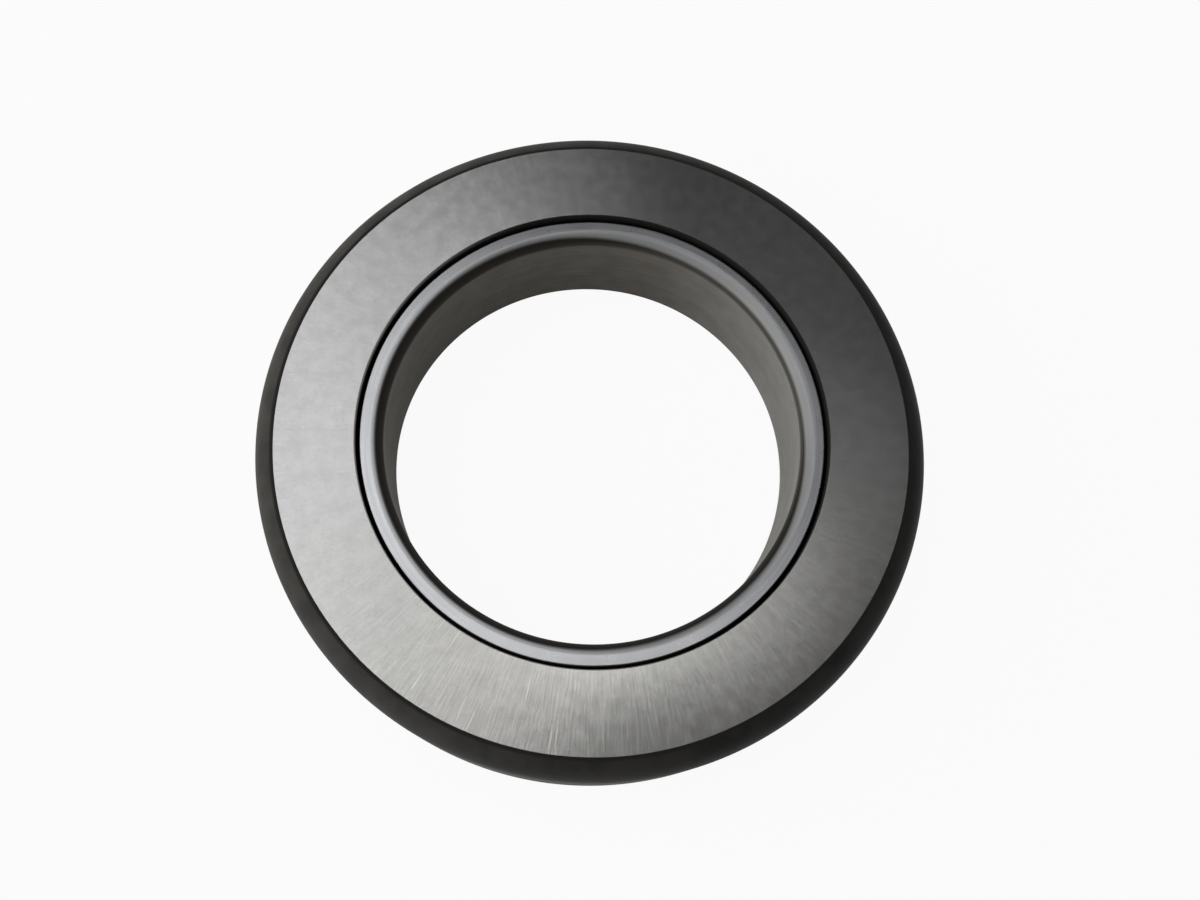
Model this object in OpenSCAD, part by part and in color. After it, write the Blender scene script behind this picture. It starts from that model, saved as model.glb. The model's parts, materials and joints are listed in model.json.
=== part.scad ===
// Clutch release bearing: a turning contact ring on a row of angular-contact balls around a still inner ring.
// The axis is +Z. The inner ring's rear seat lies on z = 0 and the ground contact face looks up.
// Every section is drawn as radius across and height up, and is turned about the axis.

/* [Balls] */
// Ball diameter
ball_d = 8.731; // [7:0.001:10]
// Least space between neighbouring balls, measured along the pitch circle
ball_spacing = 2.6; // [2:0.1:6]
// Angle between the plane of the balls and the line through a ball's two contacts
contact_angle = 45; // [38:1:52]

/* [Ball tracks] */
// Track radius as a share of the ball diameter
track_conformity = 0.52; // [0.515:0.005:0.56]
// Running clearance between a ball and each track, along the contact line
track_clearance = 0.05; // [0.02:0.01:0.08]
// Height of the snap ridge beside the inner track, above the ball centres
ridge_h = 0.9; // [0.7:0.05:1.6]

/* [Inner ring] */
// Bore diameter, which presses onto the release sleeve
bore_d = 56; // [40:0.5:75]
// Wall between the bore and the running gap
lip_wall = 3; // [2.6:0.05:6]
// Depth of the lip's end below the contact face
lip_drop = 1; // [0.5:0.05:3]
// Radius that rolls the lip's end into the bore
lip_round = 1.7; // [0.8:0.1:2.8]
// Radius on the lip's outer edge, beside the running gap
lip_edge = 0.2; // [0.1:0.05:0.6]
// Thickness of the ring between its rear seat and the balls
seat_web = 4; // [3.2:0.1:6]
// Space between the lip and the balls
ball_side_gap = 0.919; // [0.7:0.001:2]

/* [Contact ring] */
// Height of the bearing from the rear seat to the contact face
total_h = 18; // [16:0.5:26]
// Wall between the balls and the outside
ring_wall = 4.35; // [3.4:0.05:8]
// Running gap between the lip and the front opening
running_gap = 0.45; // [0.3:0.05:1]
// Radial width of the rounded front corner, outside the ground face
corner_w = 3; // [2:0.1:3.6]
// Slope of the rounded corner where the ground face cuts it off
corner_tilt = 12; // [4:1:30]
// Height of the ring's rear edge above the rear seat
ring_lift = 1; // [0.5:0.1:1.6]

/* [Rear shield] */
// Sheet thickness
shield_t = 0.8; // [0.5:0.05:1]
// Depth of the shield inside the ring's rear edge
shield_recess = 0.3; // [0.2:0.05:0.6]
// Depth of the seat groove beyond the ring's inner wall
shield_seat = 0.9; // [0.6:0.05:1.4]
// Overlap of the rolled edge that keeps the shield in its seat
shield_hook = 0.4; // [0.2:0.05:0.5]
// Height of the turned-in inner rim, from the shield's rear face
shield_rim_h = 1.7; // [1.4:0.1:2.2]
// Running gap between the shield and the inner ring's shoulder
shield_gap = 0.4; // [0.25:0.05:0.8]
// Clearance of the shield in its seat
shield_fit = 0.02; // [0.01:0.01:0.05]

/* [Cage] */
// Wall of the conical cage
cage_t = 1.6; // [1.2:0.1:2]
// Space between a ball and its pocket
pocket_gap = 0.2; // [0.1:0.05:0.4]
// Space kept between the cage and both rings
cage_gap = 0.45; // [0.3:0.05:0.7]

/* [Edges] */
// Edge break of the front opening
edge_break = 0.1; // [0.05:0.05:0.4]
// Chamfer on the rear edges
rear_chamfer = 0.6; // [0.3:0.1:1]

/* [Hidden] */
$fn = 128;
half_turn = 180;
full_turn = 360;

// The radii, from the bore outwards.
bore_r = bore_d / 2;
ball_r = ball_d / 2;
lip_r = bore_r + lip_wall;
front_r = lip_r + running_gap;
pitch_r = lip_r + ball_side_gap + ball_r;
inner_wall_r = pitch_r - ball_r - track_clearance;
outer_wall_r = pitch_r + ball_r + track_clearance;
outer_r = pitch_r + ball_r + ring_wall;

// The balls stand on the seat web, as many as fit round the pitch circle.
ball_z = seat_web + ball_r;
ball_count = floor(2 * PI * pitch_r / (ball_d + ball_spacing));

// Each track is an arc whose centre lies a little past the ball centre on the contact line.
track_r = track_conformity * ball_d;
track_shift = track_r - ball_r - track_clearance;
contact_dir = [cos(contact_angle), sin(contact_angle)];
ball_centre = [pitch_r, ball_z];
outer_track = ball_centre - track_shift * contact_dir;
inner_track = ball_centre + track_shift * contact_dir;

// Both tracks end where the cage needs its room.
track_end = contact_angle + acos((cage_t / 2 + cage_gap + track_shift) / track_r);
track_end_dir = [cos(track_end), sin(track_end)];
flange_edge = outer_track + track_r * track_end_dir;
shoulder_edge = inner_track - track_r * track_end_dir;

// The lip's end, and the ground-off corner of the contact ring.
lip_top = total_h - lip_drop;
lip_fillet = min(lip_round, lip_wall - 2 * lip_edge);
corner_r = corner_w / (1 - sin(corner_tilt));
corner_centre = [outer_r - corner_r, total_h - corner_r * cos(corner_tilt)];

// The shield in its seat.
shield_z = ring_lift + shield_recess;
shield_top = shield_z + shield_t;
shield_rim_top = shield_z + shield_rim_h;
shield_in_r = shoulder_edge[0] + shield_gap;
seat_r = outer_wall_r + shield_seat;
hook_r = seat_r - shield_hook;

function ball_name(i) = str(i < 10 ? "ball_0" : "ball_", i);
function ball_turn(i) = (i - 1) * full_turn / ball_count;

// What a round corner takes off a square one. The square corner points along [across, up] from the arc's centre.
module outside_arc(centre, r, across, up) {
    translate(centre)
        difference() {
            scale([across, up]) square(2 * r);
            circle(r);
        }
}

// A section turned all the way round the axis
module turned() {
    rotate_extrude(angle = full_turn) children();
}

// The contact ring: a front flange over the balls and an outside wall around them, in one hardened piece.
module contact_ring() {
    color([0.56, 0.55, 0.53])
        turned()
            difference() {
                polygon([
                    [front_r + edge_break, total_h],
                    [outer_r, total_h],
                    [outer_r, ring_lift + rear_chamfer],
                    [outer_r - rear_chamfer, ring_lift],
                    [hook_r, ring_lift],
                    [hook_r, shield_z - shield_fit],
                    [seat_r, shield_z - shield_fit],
                    [seat_r, shield_top],
                    [outer_wall_r, shield_top],
                    [outer_wall_r, outer_track[1]],
                    outer_track,
                    [outer_track[0], flange_edge[1]],
                    [front_r, flange_edge[1]],
                    [front_r, total_h - edge_break]
                ]);
                translate(outer_track) circle(track_r);
                outside_arc(corner_centre, corner_r, 1, 1);
            }
}

// The inner ring: a bored sleeve with a rear shoulder under the balls and a lip inside the contact ring.
module inner_ring() {
    color([0.50, 0.46, 0.42])
        turned()
            difference() {
                polygon([
                    [bore_r + rear_chamfer, 0],
                    [shoulder_edge[0] - rear_chamfer, 0],
                    [shoulder_edge[0], rear_chamfer],
                    shoulder_edge,
                    [inner_track[0], shoulder_edge[1]],
                    inner_track,
                    [inner_wall_r, inner_track[1]],
                    [inner_wall_r, ball_z + ridge_h],
                    [lip_r, ball_z + ridge_h + inner_wall_r - lip_r],
                    [lip_r, lip_top],
                    [bore_r, lip_top],
                    [bore_r, rear_chamfer]
                ]);
                translate(inner_track) circle(track_r);
                outside_arc([bore_r + lip_fillet, lip_top - lip_fillet], lip_fillet, -1, 1);
                outside_arc([lip_r - lip_edge, lip_top - lip_edge], lip_edge, 1, 1);
            }
}

// One bearing ball in its place on the pitch circle
module ball(i) {
    color([0.78, 0.78, 0.79])
        rotate([0, 0, ball_turn(i)])
            translate([pitch_r, 0, ball_z])
                sphere(r = ball_r);
}

// The cage's section: a sloping wall across the contact line, trimmed clear of the rings and the shield
module cage_section() {
    low = [lip_r + cage_gap, shield_rim_top + cage_gap];
    high = [outer_wall_r - cage_gap, flange_edge[1] - cage_gap];
    intersection() {
        translate(ball_centre)
            rotate(contact_angle - half_turn / 2)
                square([4 * ball_r, cage_t], center = true);
        translate(low) square(high - low);
    }
}

// The cage: the sloping wall turned round the axis, with a round pocket for each ball
module ball_cage() {
    color([0.20, 0.17, 0.13])
        difference() {
            turned() cage_section();
            for (i = [1:ball_count])
                rotate([0, 0, ball_turn(i)])
                    translate([pitch_r, 0, ball_z])
                        sphere(r = ball_r + pocket_gap);
        }
}

// The rear shield: a flat sheet ring with its inner edge turned in beside the shoulder
module rear_shield() {
    color([0.60, 0.60, 0.58])
        turned()
            difference() {
                polygon([
                    [shield_in_r, shield_z],
                    [seat_r - shield_fit, shield_z],
                    [seat_r - shield_fit, shield_top],
                    [shield_in_r + shield_t, shield_top],
                    [shield_in_r + shield_t, shield_rim_top],
                    [shield_in_r, shield_rim_top]
                ]);
                outside_arc([shield_in_r + shield_t, shield_top], shield_t, -1, -1);
            }
}

contact_ring();
inner_ring();
ball_cage();
rear_shield();
for (i = [1:ball_count])
    ball(i);
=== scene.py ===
# %% [markdown]
# # A clutch release bearing, dressed for the camera
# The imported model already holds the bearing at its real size: a turning contact ring, a still inner
# ring, a row of balls in a cage, and a thin shield at the rear. This lesson gives those pieces their
# finish. Everything is in metres, with +Z along the axis and the ground contact face looking up.

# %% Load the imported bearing
import json
import math

import bpy
from mathutils import Matrix, Vector


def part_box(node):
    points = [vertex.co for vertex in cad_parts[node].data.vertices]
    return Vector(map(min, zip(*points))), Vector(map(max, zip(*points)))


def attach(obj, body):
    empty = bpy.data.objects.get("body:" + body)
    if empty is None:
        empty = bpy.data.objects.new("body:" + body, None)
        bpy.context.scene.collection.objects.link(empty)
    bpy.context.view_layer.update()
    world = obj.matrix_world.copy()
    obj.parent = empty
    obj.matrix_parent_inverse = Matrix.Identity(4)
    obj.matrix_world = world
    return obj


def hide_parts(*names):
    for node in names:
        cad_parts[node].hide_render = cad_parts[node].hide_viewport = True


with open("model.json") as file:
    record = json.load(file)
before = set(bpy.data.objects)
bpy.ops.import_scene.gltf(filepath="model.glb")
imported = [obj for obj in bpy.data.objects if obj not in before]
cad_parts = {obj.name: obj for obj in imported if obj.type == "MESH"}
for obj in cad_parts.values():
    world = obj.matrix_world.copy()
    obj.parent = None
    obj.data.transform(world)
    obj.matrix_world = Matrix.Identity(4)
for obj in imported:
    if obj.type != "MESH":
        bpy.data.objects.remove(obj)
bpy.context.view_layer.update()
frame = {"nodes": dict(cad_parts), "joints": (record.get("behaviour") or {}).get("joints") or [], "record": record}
MM = 0.001


# %% [markdown]
# ## The camera
# The photograph looks down on the face from close by, a little to the front. A camera could be placed
# by eye, but five rings of the bearing show as ellipses, and fitting one pinhole camera to them gives
# its place. The lean is measured from the bearing's axis, the heading in the plane of the face. The
# picture's right is +X.

# %% Place the camera
IMAGE_W = 1200
FOCAL_PX = 1200
SENSOR_MM = 36.0
CAMERA_LEAN = math.radians(17.85)
CAMERA_HEADING = math.radians(-96.86)
CAMERA_DISTANCE = 158.9 * MM
AIM_OFFSET_PX = (-6.2, -21.2)

face_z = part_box("contact_ring")[1].z
face_centre = Vector((0, 0, face_z))


def direction(lean, heading):
    """The unit vector that leans from +Z by one angle, towards a heading in the XY plane."""
    return Vector((
        math.sin(lean) * math.cos(heading),
        math.sin(lean) * math.sin(heading),
        math.cos(lean),
    ))


def facing(back, up_hint):
    """The rotation of a camera whose own +Z points back, away from what it looks at."""
    right = up_hint.cross(back).normalized()
    up = back.cross(right)
    return Matrix((right, up, back)).transposed().to_4x4()


camera_data = bpy.data.cameras.new("camera")
camera_data.sensor_width = SENSOR_MM
camera_data.lens = SENSOR_MM * FOCAL_PX / IMAGE_W
camera_data.shift_x = -AIM_OFFSET_PX[0] / IMAGE_W
camera_data.shift_y = AIM_OFFSET_PX[1] / IMAGE_W
camera_data.clip_start = MM
camera = bpy.data.objects.new("camera", camera_data)
bpy.context.scene.collection.objects.link(camera)
camera_back = direction(CAMERA_LEAN, CAMERA_HEADING)
camera.matrix_world = (
    Matrix.Translation(face_centre + CAMERA_DISTANCE * camera_back)
    @ facing(camera_back, Vector((0, 1, 0)))
)
bpy.context.scene.camera = camera
print("camera at mm:", [round(v / MM, 1) for v in camera.matrix_world.translation])

# %% [markdown]
# ## Shader maths as plain Python
# A finish is a tree of nodes. Adding each node by hand hides the idea behind the bookkeeping, so one
# small class wraps a socket and lets it be added, scaled and mixed like a number. Each expression adds
# its nodes.

# %% Wrap a socket


class Value:
    """An output socket that can stand in a Python expression."""

    def __init__(self, tree, socket):
        self.tree = tree
        self.socket = socket

    def maths(self, operation, first, second):
        return self.tree.node(
            "ShaderNodeMath", {"operation": operation}, {0: first, 1: second}
        )

    def __add__(self, other):
        return self.maths("ADD", self, other)

    def __sub__(self, other):
        return self.maths("SUBTRACT", self, other)

    def __mul__(self, other):
        return self.maths("MULTIPLY", self, other)

    def __radd__(self, other):
        return self.maths("ADD", other, self)

    def __rsub__(self, other):
        return self.maths("SUBTRACT", other, self)

    def __rmul__(self, other):
        return self.maths("MULTIPLY", other, self)

    def out(self, name):
        """Another output of the same node."""
        return Value(self.tree, self.socket.node.outputs[name])


# %% [markdown]
# ## Any other node
# Noise, mixes and smooth steps aren't sums, so one method adds any node: it takes the node's type, its
# settings and what its sockets get. Writing out each node and link would do the same in many more
# lines. Two helpers stand on it, because every finish blends colours and fades from one part into the
# next.

# %% Add any node


class Tree:
    """A node tree with one method that adds any node."""

    def __init__(self, node_tree):
        self.nodes = node_tree.nodes
        self.links = node_tree.links

    def put(self, socket, value):
        """Links a socket to a Value, or sets it to a constant."""
        if isinstance(value, Value):
            self.links.new(value.socket, socket)
        else:
            socket.default_value = value

    def node(self, kind, settings=None, sockets=None, output=0):
        """Adds a node, sets its settings first and then its sockets, and returns one of its outputs."""
        made = self.nodes.new(kind)
        for name, value in (settings or {}).items():
            setattr(made, name, value)
        for key, value in (sockets or {}).items():
            self.put(made.inputs[key], value)
        return Value(self, made.outputs[output])

    def mix(self, share, first, second):
        """A colour that goes from first to second as share goes from 0 to 1."""
        settings = {"data_type": "RGBA"}
        return self.node("ShaderNodeMix", settings, {0: share, 6: first, 7: second}, 2)

    def rise(self, value, low, high):
        """0 below low, 1 above high, and smooth between."""
        settings = {"interpolation_type": "SMOOTHSTEP"}
        return self.node(
            "ShaderNodeMapRange", settings, {0: value, "From Min": low, "From Max": high}
        )


# %% [markdown]
# ## Places on a turned piece
# The finishes of a bearing follow its axis: marks run round it or out from it, and wear sits on one
# side. So each finish starts with the radius, the height and the heading of the point it colours, in
# millimetres. They come from the piece's own coordinates, and turn with it.

# %% A finish and its places
RIGHT = 0
REAR = 90
LEFT = 180
FRONT = 270


class Finish(Tree):
    """A material with one Principled shader, and the places on a turned piece to paint by."""

    def __init__(self, name):
        self.material = bpy.data.materials.new(name)
        self.material.use_nodes = True
        super().__init__(self.material.node_tree)
        self.shader = self.nodes["Principled BSDF"]
        here = self.node("ShaderNodeTexCoord", output="Object")
        scale = {"operation": "SCALE"}
        self.place = self.node("ShaderNodeVectorMath", scale, {0: here, "Scale": 1 / MM})
        parts = self.node("ShaderNodeSeparateXYZ", sockets={0: self.place})
        flat = self.node("ShaderNodeCombineXYZ", sockets={0: parts, 1: parts.out("Y")})
        length = {"operation": "LENGTH"}
        self.radius = self.node("ShaderNodeVectorMath", length, {0: flat}, "Value")
        self.height = parts.out("Z")
        normalize = {"operation": "NORMALIZE"}
        heading = self.node("ShaderNodeVectorMath", normalize, {0: flat})
        self.heading = self.node("ShaderNodeSeparateXYZ", sockets={0: heading})

    def toward(self, degrees):
        """1 on the side at an angle round the axis, 0 square to it and -1 on the far side."""
        angle = math.radians(degrees)
        return math.cos(angle) * self.heading + math.sin(angle) * self.heading.out("Y")

    def noise(self, vector, scale=1.0, detail=2.0):
        """Soft random values about one half."""
        sockets = {"Vector": vector, "Scale": scale, "Detail": detail}
        return self.node("ShaderNodeTexNoise", None, sockets)

    def grain(self, around, along, detail=2.0, offset=0.0):
        """Noise in polar places. A large around and a small along give spokes, the reverse gives rings."""
        sockets = {
            0: self.heading * around,
            1: self.heading.out("Y") * around,
            2: (self.radius + self.height) * along + offset,
        }
        return self.noise(self.node("ShaderNodeCombineXYZ", None, sockets), detail=detail)

    def bump(self, height, depth_mm):
        """A normal that follows a height given in shares of a depth."""
        return self.node("ShaderNodeBump", None, {"Height": height, "Distance": depth_mm * MM})

    def wear(self, sockets):
        """Sets the Principled shader's sockets by their names and returns the material."""
        for name, value in sockets.items():
            self.put(self.shader.inputs[name], value)
        print("finish", self.material.name, "nodes:", len(self.nodes))
        return self.material


# %% [markdown]
# ## Turned sections
# Both rings and the shield are bodies of revolution, so each is one section turned about the axis. A
# curve with a Screw modifier would do, but then every corner would be razor sharp and its shading would
# smear. So the outline is written as stretches of line and arc, every corner between them gets a small
# true radius, and the normals are set from the outline itself: flats stay flat and corners catch a thin
# line of light.

# %% Points along a section
EDGE_STEPS = 4
SMOOTH_TURN = math.radians(9)
EDGE_ROOM = 0.45


def spoke(angle):
    """The unit vector at an angle in a section, in degrees from the radial direction."""
    return Vector((math.cos(math.radians(angle)), math.sin(math.radians(angle))))


def arc(centre, radius, start, end, steps):
    """Points along an arc in a section. The end point is left to the stretch that follows."""
    turns = [start + (end - start) * i / steps for i in range(steps)]
    return [Vector(centre) + radius * spoke(turn) for turn in turns]


def outward(along):
    """The side that looks out of a section whose outline runs counterclockwise."""
    return Vector((along.y, -along.x))


def softened(before, corner, after, edge):
    """A small arc in place of a corner, as (point, normal) pairs. A gentle turn stays one point."""
    into = corner - before
    out_of = after - corner
    first = outward(into).normalized()
    last = outward(out_of).normalized()
    turn = first.angle(last)
    if turn < SMOOTH_TURN:
        return [(corner, (outward(into) + outward(out_of)).normalized())]
    room = EDGE_ROOM * min(into.length, out_of.length)
    reach = min(edge * math.tan(turn / 2), room)
    side = math.copysign(reach / math.tan(turn / 2), into.cross(out_of))
    centre = corner - reach * into.normalized() - side * first
    normals = [first.lerp(last, i / EDGE_STEPS).normalized() for i in range(EDGE_STEPS + 1)]
    return [(centre + side * normal, normal) for normal in normals]


def outline(stretches, edge):
    """Joins (finish, points) stretches into a loop of (point, normal, finish of the side that follows)."""
    path = [(Vector(point), finish) for finish, points in stretches for point in points]
    loop = []
    for i, (corner, finish) in enumerate(path):
        before = path[i - 1][0]
        after = path[(i + 1) % len(path)][0]
        for point, normal in softened(before, corner, after, edge):
            loop.append((point, normal, finish))
    return loop


# %% [markdown]
# ## From a section to a solid
# A ring comes off the lathe as one section swept round its axis, and its mesh is made in the same way:
# the outline is copied round in many small turns, and four-sided faces join the copies. Blender's Spin
# would do that, but it knows nothing of finishes. Here each face takes the finish of the stretch it
# lies on, and each point takes the normal of its section.

# %% Turn a section about the axis
TURN_STEPS = 256


def turned(name, stretches, finishes, edge):
    """Turns a section in millimetres about the axis into one closed mesh with true normals."""
    loop = outline(stretches, edge)
    across = len(loop)
    places, normals, faces, slots = [], [], [], []
    for j in range(TURN_STEPS):
        c = math.cos(2 * math.pi * j / TURN_STEPS)
        s = math.sin(2 * math.pi * j / TURN_STEPS)
        follow = (j + 1) % TURN_STEPS
        for i, (point, normal, finish) in enumerate(loop):
            places.append((point.x * c * MM, point.x * s * MM, point.y * MM))
            normals.append((normal.x * c, normal.x * s, normal.y))
            ahead = (i + 1) % across
            faces.append((
                j * across + i, follow * across + i, follow * across + ahead, j * across + ahead
            ))
            slots.append(list(finishes).index(finish))
    mesh = bpy.data.meshes.new(name)
    mesh.from_pydata(places, [], faces)
    for material in finishes.values():
        mesh.materials.append(material)
    mesh.polygons.foreach_set("material_index", slots)
    mesh.polygons.foreach_set("use_smooth", [True] * len(faces))
    mesh.normals_split_custom_set_from_vertices(normals)
    mesh.validate()
    piece = bpy.data.objects.new(name, mesh)
    bpy.context.scene.collection.objects.link(piece)
    print(name, "faces:", len(mesh.polygons), "section points:", across)
    return piece


# %% [markdown]
# ## Sizes that the sections share
# The frame gives most of them: the boxes of the rings, the bore in its mount, and a ball's place in its
# joint. They could be typed in again, but read from the frame they can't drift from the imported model.

# %% Read the bearing's sizes
mounts = {m["name"]: m for m in frame["record"]["mounts"]}
joints = {j["name"]: j for j in frame["joints"]}


def in_mm(length):
    """A length in millimetres, to the micrometre."""
    return round(length / MM, 3)


ring_low, ring_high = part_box("contact_ring")
inner_low, inner_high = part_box("inner_ring")
shield_low, shield_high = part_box("rear_shield")
ball_low, ball_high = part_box("ball_01")

bore_r = mounts["sleeve_bore"]["dims"]["r_mm"]
outer_r = in_mm(ring_high.x)
face_h = in_mm(ring_high.z)
ring_rear = in_mm(ring_low.z)
lip_top = in_mm(inner_high.z)
shoulder_r = in_mm(inner_high.x)
ball_r = in_mm(ball_high.z - ball_low.z) / 2
pitch_r = in_mm(joints["ball_01_roll"]["pos_m"][0])
ball_z = in_mm(joints["ball_01_roll"]["pos_m"][2])
print("bore", bore_r, "pitch", pitch_r, "outside", outer_r)

# %% [markdown]
# ## Walls, edges and ball tracks
# The boxes don't tell the bearing's small sizes: its walls, its edge breaks and the shape of the ball
# tracks. A track is an arc slightly wider than the ball, with its centre a little past the ball's own
# on the line of contact, so the ball touches in one spot and still has room to run. All this could be
# measured on the CAD meshes, but the maker's own few numbers are exact and easier to follow.

# %% Small sizes and the ball tracks
LIP_WALL = 3.0
LIP_ROUND = 1.7
LIP_EDGE = 0.2
RUNNING_GAP = 0.45
EDGE_BREAK = 0.1
REAR_CHAMFER = 0.6
CORNER_W = 3.0
CORNER_TILT = 12.0
RIDGE_H = 0.9
CONTACT_ANGLE = math.radians(45)
TRACK_CLEARANCE = 0.05
TRACK_CONFORMITY = 0.52
EDGE_SOFT = 0.06

lip_r = bore_r + LIP_WALL
front_r = lip_r + RUNNING_GAP
track_r = TRACK_CONFORMITY * 2 * ball_r
track_shift = track_r - ball_r - TRACK_CLEARANCE
contact = Vector((math.cos(CONTACT_ANGLE), math.sin(CONTACT_ANGLE)))
ball_centre = Vector((pitch_r, ball_z))
outer_track = ball_centre - track_shift * contact
inner_track = ball_centre + track_shift * contact
inner_wall_r = pitch_r - ball_r - TRACK_CLEARANCE
outer_wall_r = pitch_r + ball_r + TRACK_CLEARANCE
print("lip", lip_r, "front", front_r, "track", round(track_r, 3))

# %% [markdown]
# ## The ground face
# The contact face is ground flat after hardening, so it is bright and its marks run out from the axis
# like very fine spokes. They are freshest on the front side, where a few thin scratches cross the face
# too, and show faintly again at the rear. The front of the face is also tinted warm, which is painted
# warm light, and the scratches get a pale warm colour, which is a painted glint on real marks. A picture
# of scratches would be the quick way. Here noise is drawn in polar places instead, so the marks turn
# with the ring and never repeat. The highlight is drawn out across the marks by the shader's own
# anisotropy, which runs round the axis when no tangent is linked.

# %% Finish of the ground face
# Painted glint: the pale warm colour of the scratch lines, on real scratch marks.
SCRATCH_GLINT = (0.88, 0.84, 0.76, 1)


def grey(level):
    """A colour without a tint."""
    return (level, level, level, 1)


def ground_face():
    """Bright steel with a radial grinding lay, freshest at the front and painted warm there as warm light,
    clouding, and thin scratches with a painted glint.
    """
    f = Finish("ground_face")
    # Share of the front: the freshest marks, and the face painted warm there as painted warm light.
    fresh_and_warm_light = f.rise(f.toward(FRONT + 11.5), 0.0, 0.9)
    scored = f.rise(f.toward(FRONT - 15), 0.86, 0.97)
    rear = f.rise(f.toward(REAR), 0.75, 1.0)
    lay = f.grain(around=110, along=0.30)
    broad = f.grain(around=24, along=0.12, offset=40)
    marks = (0.3 + 0.7 * fresh_and_warm_light) * (lay + 0.6 * broad - 0.8) + 0.6 * rear * (broad - 0.5)
    cloud = f.noise(f.place, scale=0.5, detail=4)
    speck = f.noise(f.place, scale=2.5)
    scratch = f.rise(f.grain(around=95, along=0.18, detail=0, offset=90), 0.72, 0.80)
    tone = f.rise(0.7 * cloud + 0.3 * speck + 0.4 * marks, 0.2, 0.8)
    plain = f.mix(tone, grey(0.49), grey(0.62))
    # The warm copy of the face colour is painted warm light on the front.
    warm = f.mix(tone, (0.49, 0.486, 0.468, 1), (0.62, 0.614, 0.592, 1))
    return f.wear({
        "Base Color": f.mix(0.5 * scratch * scored, f.mix(fresh_and_warm_light, plain, warm), SCRATCH_GLINT),
        "Metallic": 1.0,
        "Roughness": 0.23 + 0.04 * cloud,
        "Anisotropic": 0.92,
        "Normal": f.bump(marks, depth_mm=0.014),
    })


face_finish = ground_face()

# %% [markdown]
# ## The dark skin
# Outside the ground face the ring keeps the skin that hardening left: nearly black, a little brown, and
# finely rough. A black paint would look too even, so its tone drifts in soft patches and its surface is
# lightly grained. It is painted paler on the left as painted light, and darkest in a painted shade line
# beside the ground face.

# %% Finish of the dark skin
# Painted shade: the near-black of the line beside the ground face and of the shaded running gap.
SHADE_BLACK = (0.024, 0.023, 0.021, 1)


def dark_skin():
    """Heat-darkened steel: a dull near-black skin with soft patches, painted paler on the left as painted light,
    and with a painted shade line beside the ground face.
    """
    f = Finish("dark_skin")
    patch = f.noise(f.place, scale=0.22, detail=4)
    speck = f.noise(f.place, scale=4.0)
    rings = f.grain(around=2, along=5.0, detail=3)
    # Painted light: the skin is lighter towards the left, where the light falls.
    side = f.rise(f.toward(LEFT - 15.5), -0.857, 0.964)
    tone = f.rise(patch, 0.35, 0.65)
    plain = f.mix(tone, (0.019, 0.0185, 0.018, 1), (0.030, 0.029, 0.027, 1))
    painted_lit = f.mix(tone, (0.062, 0.060, 0.055, 1), (0.089, 0.086, 0.078, 1))
    # Painted shade line just beside the ground face.
    away = f.rise(f.radius - (outer_r - CORNER_W), 0.3, 0.7)
    return f.wear({
        "Base Color": f.mix(away, SHADE_BLACK, f.mix(side, plain, painted_lit)),
        "Roughness": 0.50 + 0.12 * patch + 0.06 * speck,
        "Specular IOR Level": 0.1,
        "Normal": f.bump(0.5 * speck + 0.5 * rings, depth_mm=0.006),
    })


skin_finish = dark_skin()

# %% [markdown]
# ## The edge of the front opening
# Where the face ends at the running gap its edge is broken by a tiny chamfer. On the front left the chamfer
# and the top of the gap's wall are painted lighter as painted light, and elsewhere and deeper in they keep
# a near-black colour as painted shade. Bare metal is shown by the Metallic value, so the mask drives that too.

# %% Finish of the opening's edge
OPENING_DEPTH = 0.9


def opening_edge():
    """The broken edge of the front opening: painted light at the front left, and painted shade elsewhere and
    deeper in.
    """
    f = Finish("opening_edge")
    speck = f.noise(f.place, scale=4.0)
    # Painted light: the edge and the top of the wall are lighter on the front left.
    lit_front_left = f.rise(f.toward(LEFT + 26), -0.2, 0.7)
    edge = f.rise(f.height, face_h - 1.5 * EDGE_BREAK, face_h - EDGE_BREAK)
    # Painted shade: the wall turns near-black deeper into the gap.
    shallow = f.rise(f.height, face_h - OPENING_DEPTH, face_h - 0.4 * OPENING_DEPTH)
    wall = f.mix(speck, (0.26, 0.256, 0.246, 1), (0.38, 0.374, 0.36, 1))
    bright = f.mix(edge, f.mix(shallow, SHADE_BLACK, wall), (0.50, 0.49, 0.475, 1))
    return f.wear({
        "Base Color": f.mix(lit_front_left, SHADE_BLACK, bright),
        "Metallic": lit_front_left * edge,
        "Roughness": 0.45 + 0.1 * speck,
        "Specular IOR Level": 0.1,
    })


opening_finish = opening_edge()

# %% [markdown]
# ## Ball tracks
# The tracks are ground and honed to a mirror with marks that run round the axis. They are hidden
# inside, but the exported piece shows them, so they get their own finish.

# %% Finish of the tracks


def honed_track():
    """Polished steel with fine rings round the axis."""
    f = Finish("honed_track")
    rings = f.grain(around=3, along=9.0, detail=3)
    return f.wear({
        "Base Color": f.mix(rings, (0.56, 0.555, 0.55, 1), (0.64, 0.635, 0.63, 1)),
        "Metallic": 1.0,
        "Roughness": 0.10 + 0.08 * rings,
        "Anisotropic": 0.4,
        "Anisotropic Rotation": 0.25,
        "Normal": f.bump(rings, depth_mm=0.001),
    })


track_finish = honed_track()

# %% [markdown]
# ## The contact ring
# This is the piece that turns: a front flange with the ground face, and a wall round the balls. Its
# section runs under the flange, round the ball track, down the wall, past the groove that holds the
# shield, and up the outside to the rounded corner that the ground face cuts off. Copying the CAD mesh
# would give the same shape, but no soft edges and no separate finish for the face.

# %% Contact ring
CORNER_STEPS = 20
TRACK_STEPS = 36
SHIELD_FIT = 0.02
SHIELD_T = 0.8
SHIELD_HOOK = 0.4
CAGE_ROOM = 1.25

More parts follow.
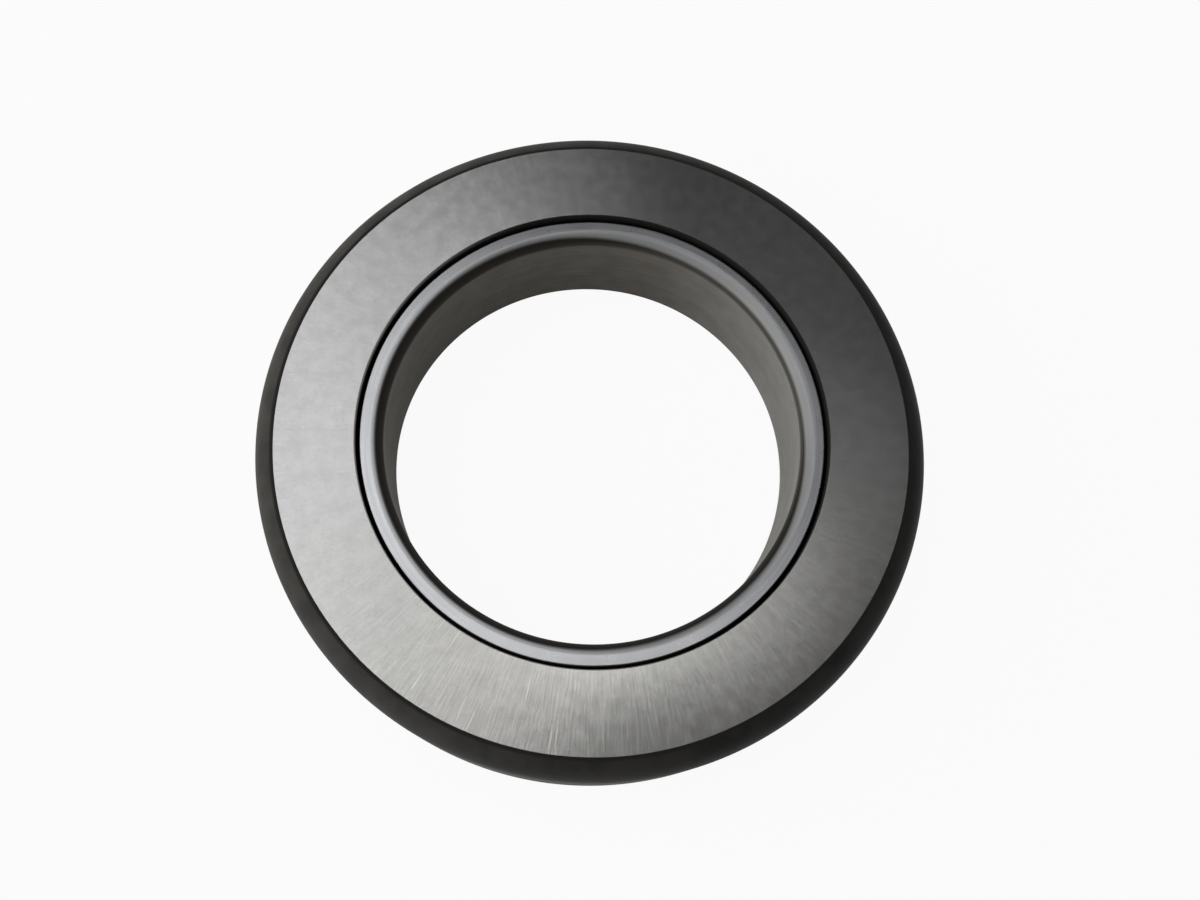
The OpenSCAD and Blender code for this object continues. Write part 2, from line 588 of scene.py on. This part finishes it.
shield_rear = in_mm(shield_low.z)
shield_top = shield_rear + SHIELD_T
seat_r = in_mm(shield_high.x) + SHIELD_FIT
hook_r = seat_r - SHIELD_HOOK
corner_r = CORNER_W / (1 - math.sin(math.radians(CORNER_TILT)))
corner_centre = (outer_r - corner_r, face_h - corner_r * math.cos(math.radians(CORNER_TILT)))
track_end = math.degrees(CONTACT_ANGLE + math.acos((CAGE_ROOM + track_shift) / track_r))
undercut = math.degrees(math.acos((outer_wall_r - outer_track.x) / track_r))
flange_under = (outer_track + track_r * spoke(track_end)).y

contact_section = [
    ("dark", [(front_r, flange_under)]),
    ("track", arc(outer_track, track_r, track_end, -undercut, TRACK_STEPS)),
    ("dark", [
        tuple(outer_track + track_r * spoke(-undercut)),
        (outer_wall_r, shield_top),
        (seat_r, shield_top),
        (seat_r, shield_rear - SHIELD_FIT),
        (hook_r, shield_rear - SHIELD_FIT),
        (hook_r, ring_rear),
        (outer_r - REAR_CHAMFER, ring_rear),
        (outer_r, ring_rear + REAR_CHAMFER),
    ]),
    ("dark", arc(corner_centre, corner_r, 0, 90 - CORNER_TILT, CORNER_STEPS)),
    ("face", [(outer_r - CORNER_W, face_h)]),
    ("opening", [(front_r + EDGE_BREAK, face_h), (front_r, face_h - EDGE_BREAK)]),
    ("dark", [(front_r, face_h - OPENING_DEPTH)]),
]
contact_finishes = {
    "face": face_finish,
    "dark": skin_finish,
    "track": track_finish,
    "opening": opening_finish,
}
contact_ring = turned("contact_ring_turned", contact_section, contact_finishes, EDGE_SOFT)
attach(contact_ring, "contact")
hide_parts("contact_ring")

# %% [markdown]
# ## The lip's finish
# The lip beside the running gap is turned bright, with fine rings, and its flat is painted lighter at the
# front as painted light. It rolls into the bore over a duller rounding that ends in a dark line of painted
# shade. The rounding could be a piece of its own, but one finish can change over it: a share that is 0
# at the bore and 1 where the flat begins says where it turns from dark to dull and from dull to bright.
# The rounding gets a painted highlight on the left, and at the rear right, where it faces the light, its
# painted dark line is made thinner.

# %% Finish of the lip
# Painted shade: the dark line where the lip's rounding meets the bore.
SHADE_BROWN = (0.045, 0.042, 0.037, 1)
# Painted highlight on the left of the lip's rounding.
HIGHLIGHT_PALE = (0.86, 0.865, 0.88, 1)


def lit_rear_right(f):
    """The share of painted light on the inner ring's rear right, where the rounding faces the light and its
    painted dark line is made thinner.
    """
    return f.rise(f.toward(RIGHT + 35), 0.3, 1.0)


def turned_lip():
    """Bright turned steel with fine rings, painted lighter at the front, duller over the rounding with a painted
    highlight on the left, and painted shade at its foot.
    """
    f = Finish("turned_lip")
    rings = f.grain(around=2, along=3.0, detail=1)
    cloud = f.noise(f.place, scale=0.3, detail=3)
    lit_share = lit_rear_right(f)
    # Painted highlight: a pale line on the rounding's left side.
    highlight_left = f.rise(f.toward(LEFT + 20), -0.1, 0.8)
    # Painted light: the lip's flat is lighter towards the front.
    front = f.rise(f.toward(FRONT), 0.72, 1.0)
    share = (f.radius - bore_r) * (1 / LIP_ROUND)
    # The rounding's foot is painted shade: narrower at the rear right, where the rounding faces the light, and a
    # little wider on the left.
    foot = f.rise(share + 0.3 * lit_share - 0.1 * highlight_left, 0.35, 0.65)
    flat = f.rise(share, 0.5, 0.9)
    sheen = f.rise(share - 0.25 * lit_share, 0.6, 1.02)
    line = f.rise(share, 0.58, 0.74) - f.rise(share, 0.86, 1.02)
    plain = f.mix(f.rise(rings, 0.3, 0.7), (0.50, 0.508, 0.524, 1), (0.58, 0.589, 0.607, 1))
    bright = f.mix(front, plain, (0.66, 0.666, 0.68, 1))
    rounding = f.mix(foot, SHADE_BROWN, (0.43, 0.43, 0.425, 1))
    return f.wear({
        "Base Color": f.mix(0.8 * line * highlight_left, f.mix(flat, rounding, bright), HIGHLIGHT_PALE),
        "Metallic": 1.0,
        "Roughness": 0.58 + 0.08 * cloud - 0.34 * sheen,
        "Anisotropic": 0.55,
        "Anisotropic Rotation": 0.25,
        "Normal": f.bump(rings, depth_mm=0.003),
    })


lip_finish = turned_lip()

# %% [markdown]
# ## The bore's finish
# The bore is left matt and brownish, as it only presses onto a sleeve. Its right side, which faces the
# light, is painted a little paler as painted light, and a dark line of painted shade runs round it just
# under the lip. A rough metal would be the plain choice, but it would still mirror the lamps, so this
# finish does without the Metallic value.

# %% Finish of the bore


def matt_bore():
    """Matt brownish steel with faint turning rings, a cloudy tone, painted light on its right and a painted shade
    line under the lip.
    """
    f = Finish("matt_bore")
    rings = f.grain(around=1.5, along=4.5, detail=4)
    cloud = f.noise(f.place, scale=0.25, detail=4)
    tone = f.rise(0.5 * rings + 0.5 * cloud, 0.35, 0.65)
    # Painted light: the right wall, which faces the light, is painted paler.
    lit_right = f.rise(f.toward(RIGHT), 0.2, 1.0)
    dull = f.mix(tone, (0.18, 0.167, 0.147, 1), (0.24, 0.225, 0.202, 1))
    painted_lit = f.mix(tone, (0.335, 0.326, 0.307, 1), (0.425, 0.412, 0.389, 1))
    depth = (lip_top - f.height) * (1 / LIP_ROUND)
    # Painted shade: a dark line under the lip, a little thinner at the rear right as painted light.
    line = (1 - 0.2 * lit_rear_right(f)) * (1 - f.rise(depth, 0.65, 1.15))
    return f.wear({
        "Base Color": f.mix(line, f.mix(lit_right, dull, painted_lit), SHADE_BROWN),
        "Roughness": 0.58 + 0.16 * cloud,
        "Specular IOR Level": 0.05,
        "Normal": f.bump(rings, depth_mm=0.008),
    })


bore_finish = matt_bore()

# %% [markdown]
# ## The seat's finish
# The rear seat is ground to sit square on the sleeve, and the parts between the rings stay plain turned
# steel. Each could have its own finish, but neither is seen from the front, so one satin finish with
# rings round the axis serves for both.

# %% Finish of the seat


def ground_seat():
    """Satin ground steel for the rear seat and its shoulder."""
    f = Finish("ground_seat")
    rings = f.grain(around=4, along=4.0)
    cloud = f.noise(f.place, scale=0.2, detail=3)
    tone = f.rise(0.65 * rings + 0.35 * cloud, 0.3, 0.7)
    return f.wear({
        "Base Color": f.mix(tone, (0.385, 0.372, 0.355, 1), (0.455, 0.445, 0.43, 1)),
        "Metallic": 1.0,
        "Roughness": 0.30 + 0.14 * rings,
        "Anisotropic": 0.5,
        "Anisotropic Rotation": 0.25,
        "Normal": f.bump(rings, depth_mm=0.005),
    })


seat_finish = ground_seat()

# %% [markdown]
# ## The inner ring
# This ring stays still on the release sleeve. Its section goes up from the ground seat, round the ball
# track and over the small ridge that keeps the balls in, then up to the lip and down the bore. The
# lip's rounding is split in the dark line where the bright turning ends, so one piece carries both
# finishes without a seam.

# %% Inner ring
FILLET_STEPS = 10
LIP_EDGE_STEPS = 12
BRIGHT_TO = 150

lip_fillet = (bore_r + LIP_ROUND, lip_top - LIP_ROUND)
lip_edge = (lip_r - LIP_EDGE, lip_top - LIP_EDGE)
shoulder_angle = track_end - 180
ridge_top = ball_z + RIDGE_H

inner_section = [
    ("seat", [
        (bore_r + REAR_CHAMFER, 0),
        (shoulder_r - REAR_CHAMFER, 0),
        (shoulder_r, REAR_CHAMFER),
    ]),
    ("track", arc(inner_track, track_r, shoulder_angle, undercut - 180, TRACK_STEPS)),
    ("seat", [
        tuple(inner_track + track_r * spoke(undercut - 180)),
        (inner_wall_r, ridge_top),
        (lip_r, ridge_top + inner_wall_r - lip_r),
    ]),
    ("lip", arc(lip_edge, LIP_EDGE, 0, 90, LIP_EDGE_STEPS)),
    ("lip", [(lip_edge[0], lip_top)]),
    ("lip", arc(lip_fillet, LIP_ROUND, 90, BRIGHT_TO, FILLET_STEPS)),
    ("bore", arc(lip_fillet, LIP_ROUND, BRIGHT_TO, 180, FILLET_STEPS)),
    ("bore", [(bore_r, lip_fillet[1]), (bore_r, REAR_CHAMFER)]),
]
inner_finishes = {
    "lip": lip_finish,
    "bore": bore_finish,
    "seat": seat_finish,
    "track": track_finish,
}
inner_ring = turned("inner_ring_turned", inner_section, inner_finishes, EDGE_SOFT)
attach(inner_ring, "inner")
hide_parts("inner_ring")

# %% [markdown]
# ## The rear shield
# A thin pressed ring snaps into a groove in the contact ring and keeps the grease in. Its inner edge is
# turned up over a small bend. It shows only from behind, as cold-rolled sheet with a soft sheen and
# faint rolling lines. Those run straight across the sheet, not round the axis, so here the noise is
# stretched along one side.

# %% Rear shield
BEND_STEPS = 12
SHIELD_GAP = 0.4
ROLLING_SCALE = (6.0, 0.25, 1.0)

shield_in_r = shoulder_r + SHIELD_GAP
rim_top = in_mm(shield_high.z)
bend = (shield_in_r + SHIELD_T, shield_top)


def pressed_sheet():
    """Cold-rolled sheet: satin steel with straight rolling lines."""
    f = Finish("pressed_sheet")
    stretch = {"operation": "MULTIPLY"}
    stretched = f.node("ShaderNodeVectorMath", stretch, {0: f.place, 1: ROLLING_SCALE})
    rolled = f.noise(stretched, detail=3)
    cloud = f.noise(f.place, scale=0.25, detail=3)
    return f.wear({
        "Base Color": f.mix(rolled, (0.42, 0.42, 0.41, 1), (0.54, 0.54, 0.53, 1)),
        "Metallic": 1.0,
        "Roughness": 0.28 + 0.14 * cloud,
        "Normal": f.bump(rolled, depth_mm=0.003),
    })


shield_section = [
    ("sheet", arc(bend, SHIELD_T, 180, 270, BEND_STEPS)),
    ("sheet", [
        (bend[0], shield_rear),
        (seat_r - SHIELD_FIT, shield_rear),
        (seat_r - SHIELD_FIT, shield_top),
        bend,
        (bend[0], rim_top),
        (shield_in_r, rim_top),
    ]),
]
rear_shield = turned("rear_shield_pressed", shield_section, {"sheet": pressed_sheet()}, EDGE_SOFT)
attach(rear_shield, "contact")
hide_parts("rear_shield")

# %% [markdown]
# ## Balls and cage
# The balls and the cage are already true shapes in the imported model, so they stay and only take a
# finish. The balls are lapped to a mirror. The cage is moulded from a dark glass-filled polymer with a
# fine mottled skin.

# %% Finishes of the balls and the cage
FIBRE = (0.16, 0.14, 0.11, 1)


def lapped_ball():
    """Mirror-bright bearing steel with the faintest haze."""
    f = Finish("lapped_ball")
    haze = f.noise(f.place, scale=1.2, detail=3)
    return f.wear({
        "Base Color": f.mix(haze, (0.60, 0.60, 0.61, 1), (0.68, 0.68, 0.69, 1)),
        "Metallic": 1.0,
        "Roughness": 0.05 + 0.06 * haze,
    })


def moulded_cage():
    """Dark brown polymer with short pale fibres just under its skin."""
    f = Finish("moulded_cage")
    mottle = f.noise(f.place, scale=0.8, detail=4)
    fibre = f.rise(f.noise(f.place, scale=7.0), 0.58, 0.70)
    base = f.mix(mottle, (0.030, 0.024, 0.017, 1), (0.055, 0.045, 0.032, 1))
    return f.wear({
        "Base Color": f.mix(0.35 * fibre, base, FIBRE),
        "Roughness": 0.42 + 0.16 * mottle,
        "Normal": f.bump(mottle + 0.3 * fibre, depth_mm=0.02),
    })


ball_finish = lapped_ball()
cage_finish = moulded_cage()
for name, node in frame["nodes"].items():
    if name.startswith("ball_"):
        node.data.materials.clear()
        node.data.materials.append(cage_finish if name == "ball_cage" else ball_finish)

# %% [markdown]
# ## The floor
# The bearing lies on a plain pale floor. A lamp bright enough to turn grey paper white would burn out
# the steel, so the floor glows by itself where the camera or a mirror looks at it. A share of it stays
# matt for the shadow.

# %% Floor
FLOOR_R = 4.0
FLOOR_WHITE = grey(0.93)
FLOOR_GLOW = 0.94

floor_mesh = bpy.data.meshes.new("floor")
floor_mesh.from_pydata(
    [(-FLOOR_R, -FLOOR_R, 0), (FLOOR_R, -FLOOR_R, 0), (FLOOR_R, FLOOR_R, 0), (-FLOOR_R, FLOOR_R, 0)],
    [],
    [(0, 1, 2, 3)],
)
floor = bpy.data.objects.new("floor", floor_mesh)
bpy.context.scene.collection.objects.link(floor)

paper = bpy.data.materials.new("paper_floor")
paper.use_nodes = True
tree = Tree(paper.node_tree)
path = tree.node("ShaderNodeLightPath", output="Is Camera Ray")
seen = tree.node(
    "ShaderNodeMath",
    {"operation": "ADD", "use_clamp": True},
    {0: path + path.out("Is Glossy Ray"), 1: path.out("Is Transmission Ray")},
)
matt = tree.node("ShaderNodeBsdfDiffuse", None, {"Color": FLOOR_WHITE})
glow = tree.node("ShaderNodeEmission", None, {"Color": grey(1), "Strength": 1.0})
both = tree.node("ShaderNodeMixShader", None, {0: FLOOR_GLOW * seen, 1: matt, 2: glow})
tree.put(tree.nodes["Material Output"].inputs["Surface"], both)
floor_mesh.materials.append(paper)
print("floor side in m:", 2 * FLOOR_R, "glowing share:", FLOOR_GLOW)

# %% [markdown]
# ## Light
# A flat ring mirrors whatever hangs over it, so the light is a ceiling of soft panels rather than one
# lamp. They fill the left side, and each strip further back ends further to the left. So the left of
# the face is bright and its back right falls off into the dim ceiling. Each panel is given by two
# corners in metres and by its brightness: at 1 a perfect mirror would show it as plain white.

# %% Lamps
PANEL_H = 0.6
PANELS = {
    "left_panel": ((-1.5, -0.5), (-0.5, 0.008), 1.0),
    "front_panel": ((-0.5, -0.35), (-0.03, 0.008), 0.42),
    "first_strip": ((-1.5, 0.008), (-0.105, 0.10), 1.32),
    "near_strip": ((-0.105, 0.008), (0.0, 0.10), 1.0),
    "edge_strip": ((0.0, 0.03), (0.137, 0.10), 1.4),
    "side_panel": ((0.137, 0.06), (0.22, 0.15), 0.38),
    "second_strip": ((-1.5, 0.10), (0.07, 0.16), 1.0),
    "third_strip": ((-1.5, 0.16), (-0.03, 0.30), 0.95),
    "fourth_strip": ((-1.5, 0.30), (-0.12, 0.45), 0.6),
    "back_panel": ((-0.12, 0.30), (0.16, 0.40), 0.045),
    "right_panel": ((0.07, 0.16), (0.8, 0.25), 0.11),
}
POWER_PER_RADIANCE = 4


def soft_panel(name, low, high, radiance):
    """A level panel that shines down, spread between two corners, as bright as radiance says."""
    size = Vector(high) - Vector(low)
    lamp = bpy.data.lights.new(name, "AREA")
    lamp.shape = "RECTANGLE"
    lamp.size = size.x
    lamp.size_y = size.y
    lamp.energy = POWER_PER_RADIANCE * size.x * size.y * radiance
    panel = bpy.data.objects.new(name, lamp)
    middle = (Vector(low) + Vector(high)) / 2
    panel.location = (middle.x, middle.y, face_z + PANEL_H)
    bpy.context.scene.collection.objects.link(panel)


for name, (low, high, radiance) in PANELS.items():
    soft_panel(name, low, high, radiance)
print("soft panels:", len(PANELS))

# %% [markdown]
# ## World
# The panels alone would leave the dark corner and the bore black, because those look to the side. So
# the world is pale low down, like the walls of a studio with a window on the left. It dims in two steps
# to a dark ceiling: the middle step keeps the face from going black when it is seen from a low angle.

# %% World
WINDOW_WALL = grey(1.6)
PLAIN_WALL = grey(0.8)
UPPER_WALL = grey(0.18)
CEILING = grey(0.04)

world = bpy.data.worlds.new("studio")
world.use_nodes = True
bpy.context.scene.world = world
sky = Tree(world.node_tree)
where = sky.node("ShaderNodeTexCoord", output="Generated")
up = sky.node("ShaderNodeSeparateXYZ", None, {0: where}, "Z")
wall = sky.mix(sky.rise(up.out("X"), -0.9, 0.0), WINDOW_WALL, PLAIN_WALL)
upper = sky.mix(sky.rise(up, 0.06, 0.45), wall, UPPER_WALL)
tone = sky.mix(sky.rise(up, 0.58, 0.75), upper, CEILING)
sky.put(sky.nodes["Background"].inputs["Color"], tone)
print("world nodes:", len(sky.nodes))

# %% [markdown]
# ## View settings
# The view settings stay plain so that colours show as written. The dressed bearing may not outgrow
# the model it dresses.

# %% Finish
bpy.context.scene.view_settings.view_transform = "Standard"
